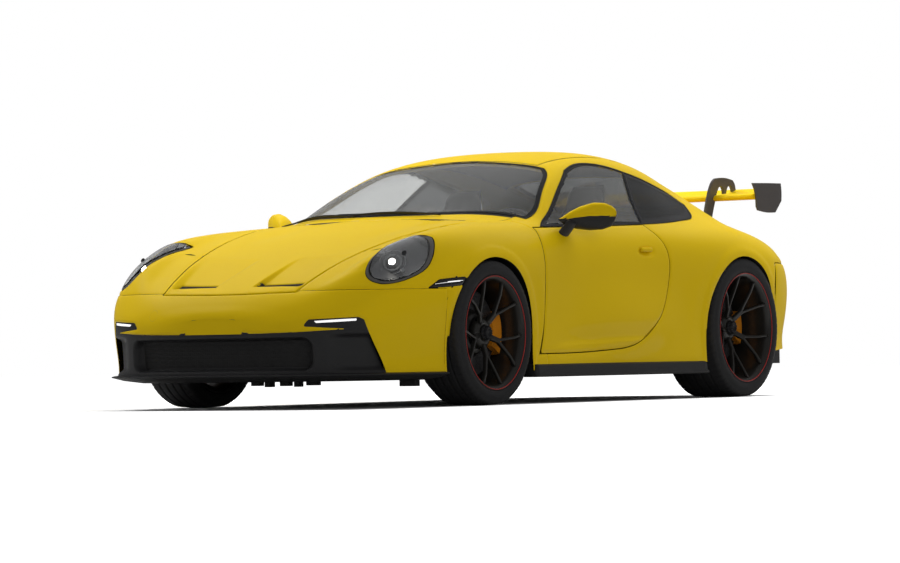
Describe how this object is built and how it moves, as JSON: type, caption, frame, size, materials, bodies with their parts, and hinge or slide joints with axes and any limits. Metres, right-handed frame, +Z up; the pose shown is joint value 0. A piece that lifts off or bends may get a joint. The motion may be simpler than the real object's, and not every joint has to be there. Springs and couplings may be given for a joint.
{
  "type": "rear-engined two-door sports coupe with rear wing",
  "caption": "Low two-door sports coupe with a raised rear wing on swan-neck stays, forked-spoke wheels, opening doors, opening front and rear lids and steered front wheels.",
  "frame": {"origin": "centre of the car's length and width, on the ground", "axes": "+X forward along the car, +Y to its left, +Z up"},
  "size_m": [4.5732, 2.06, 1.2754],
  "materials": {
    "paint": "gloss",
    "underbody": "matt",
    "black_trim": "satin",
    "grey_trim": "satin",
    "tinted_glass": "clear, dark tint",
    "lamp_glass": "clear",
    "tail_red": "clear red",
    "lamp_metal": "satin",
    "tyre": "matt",
    "rim_black": "satin",
    "disc_iron": "machined",
    "caliper_yellow": "gloss",
    "suspension_metal": "cast",
    "seat_leather": "matt",
    "cabin_plastic": "matt",
    "engine_metal": "cast",
    "steel": "brushed"
  },
  "bodies": {
    "body": {"cowl": "black_trim", "dashboard": "cabin_plastic", "diffuser": "black_trim", "engine": "engine_metal", "fixed_glass": "tinted_glass", "floor_pan": "underbody", "front_arms": "suspension_metal", "front_bumper": "paint", "front_tub": "underbody", "intake_mask": "black_trim", "lamp_cups": "lamp_metal", "lamp_lenses": "lamp_glass", "rear_bumper": "paint", "rear_calipers": "caliper_yellow", "rear_tub": "underbody", "rear_uprights": "suspension_metal", "roof_panel": "paint", "seats": "seat_leather", "side_frame_left": "paint", "side_frame_right": "paint", "sill_blades": "black_trim", "splitter": "black_trim", "steering_wheel": "cabin_plastic", "tail_lamp": "tail_red", "tailpipes": "steel", "wing_left": "paint", "wing_right": "paint"},
    "door_left": {"door_left": "paint", "door_glass_left": "tinted_glass", "mirror_left": "paint"},
    "door_right": {"door_right": "paint", "door_glass_right": "tinted_glass", "mirror_right": "paint"},
    "front_lid": {"front_lid": "paint"},
    "rear_lid": {"rear_lid": "paint", "wing_blade": "paint", "wing_supports": "grey_trim"},
    "knuckle_left": {"knuckle_left": "suspension_metal", "caliper_front_left": "caliper_yellow"},
    "knuckle_right": {"knuckle_right": "suspension_metal", "caliper_front_right": "caliper_yellow"},
    "wheel_front_left": {"tyre_front_left": "tyre", "rim_front_left": "rim_black", "disc_front_left": "disc_iron"},
    "wheel_front_right": {"tyre_front_right": "tyre", "rim_front_right": "rim_black", "disc_front_right": "disc_iron"},
    "wheel_rear_left": {"tyre_rear_left": "tyre", "rim_rear_left": "rim_black", "disc_rear_left": "disc_iron"},
    "wheel_rear_right": {"tyre_rear_right": "tyre", "rim_rear_right": "rim_black", "disc_rear_right": "disc_iron"}
  },
  "joints": [
    {"name": "steer_left", "type": "hinge", "parent": "body", "child": "knuckle_left", "pos_m": [1.2255, 0.705, 0.343], "axis": [0, 0, 1], "range_deg": [-35, 35]},
    {"name": "roll_front_left", "type": "hinge", "parent": "knuckle_left", "child": "wheel_front_left", "pos_m": [1.2255, 0.795, 0.343], "axis": [0, 1, 0], "continuous": true},
    {"name": "roll_rear_left", "type": "hinge", "parent": "body", "child": "wheel_rear_left", "pos_m": [-1.2315, 0.768, 0.361], "axis": [0, 1, 0], "continuous": true},
    {"name": "door_left_hinge", "type": "hinge", "parent": "body", "child": "door_left", "pos_m": [0.6255, 0.83, 0.55], "axis": [0, 0, -1], "range_deg": [0, 65]},
    {"name": "steer_right", "type": "hinge", "parent": "body", "child": "knuckle_right", "pos_m": [1.2255, -0.705, 0.343], "axis": [0, 0, 1], "range_deg": [-35, 35]},
    {"name": "roll_front_right", "type": "hinge", "parent": "knuckle_right", "child": "wheel_front_right", "pos_m": [1.2255, -0.795, 0.343], "axis": [0, 1, 0], "continuous": true},
    {"name": "roll_rear_right", "type": "hinge", "parent": "body", "child": "wheel_rear_right", "pos_m": [-1.2315, -0.768, 0.361], "axis": [0, 1, 0], "continuous": true},
    {"name": "door_right_hinge", "type": "hinge", "parent": "body", "child": "door_right", "pos_m": [0.6255, -0.83, 0.55], "axis": [0, 0, 1], "range_deg": [0, 65]},
    {"name": "front_lid_hinge", "type": "hinge", "parent": "body", "child": "front_lid", "pos_m": [0.7975, 0, 0.913], "axis": [0, -1, 0], "range_deg": [0, 60]},
    {"name": "rear_lid_hinge", "type": "hinge", "parent": "body", "child": "rear_lid", "pos_m": [-1.6425, 0, 1.014], "axis": [0, 1, 0], "range_deg": [0, 50]}
  ],
  "couplings": [
    {"joint": "steer_right", "follows": "steer_left", "ratio": 1}
  ]
}
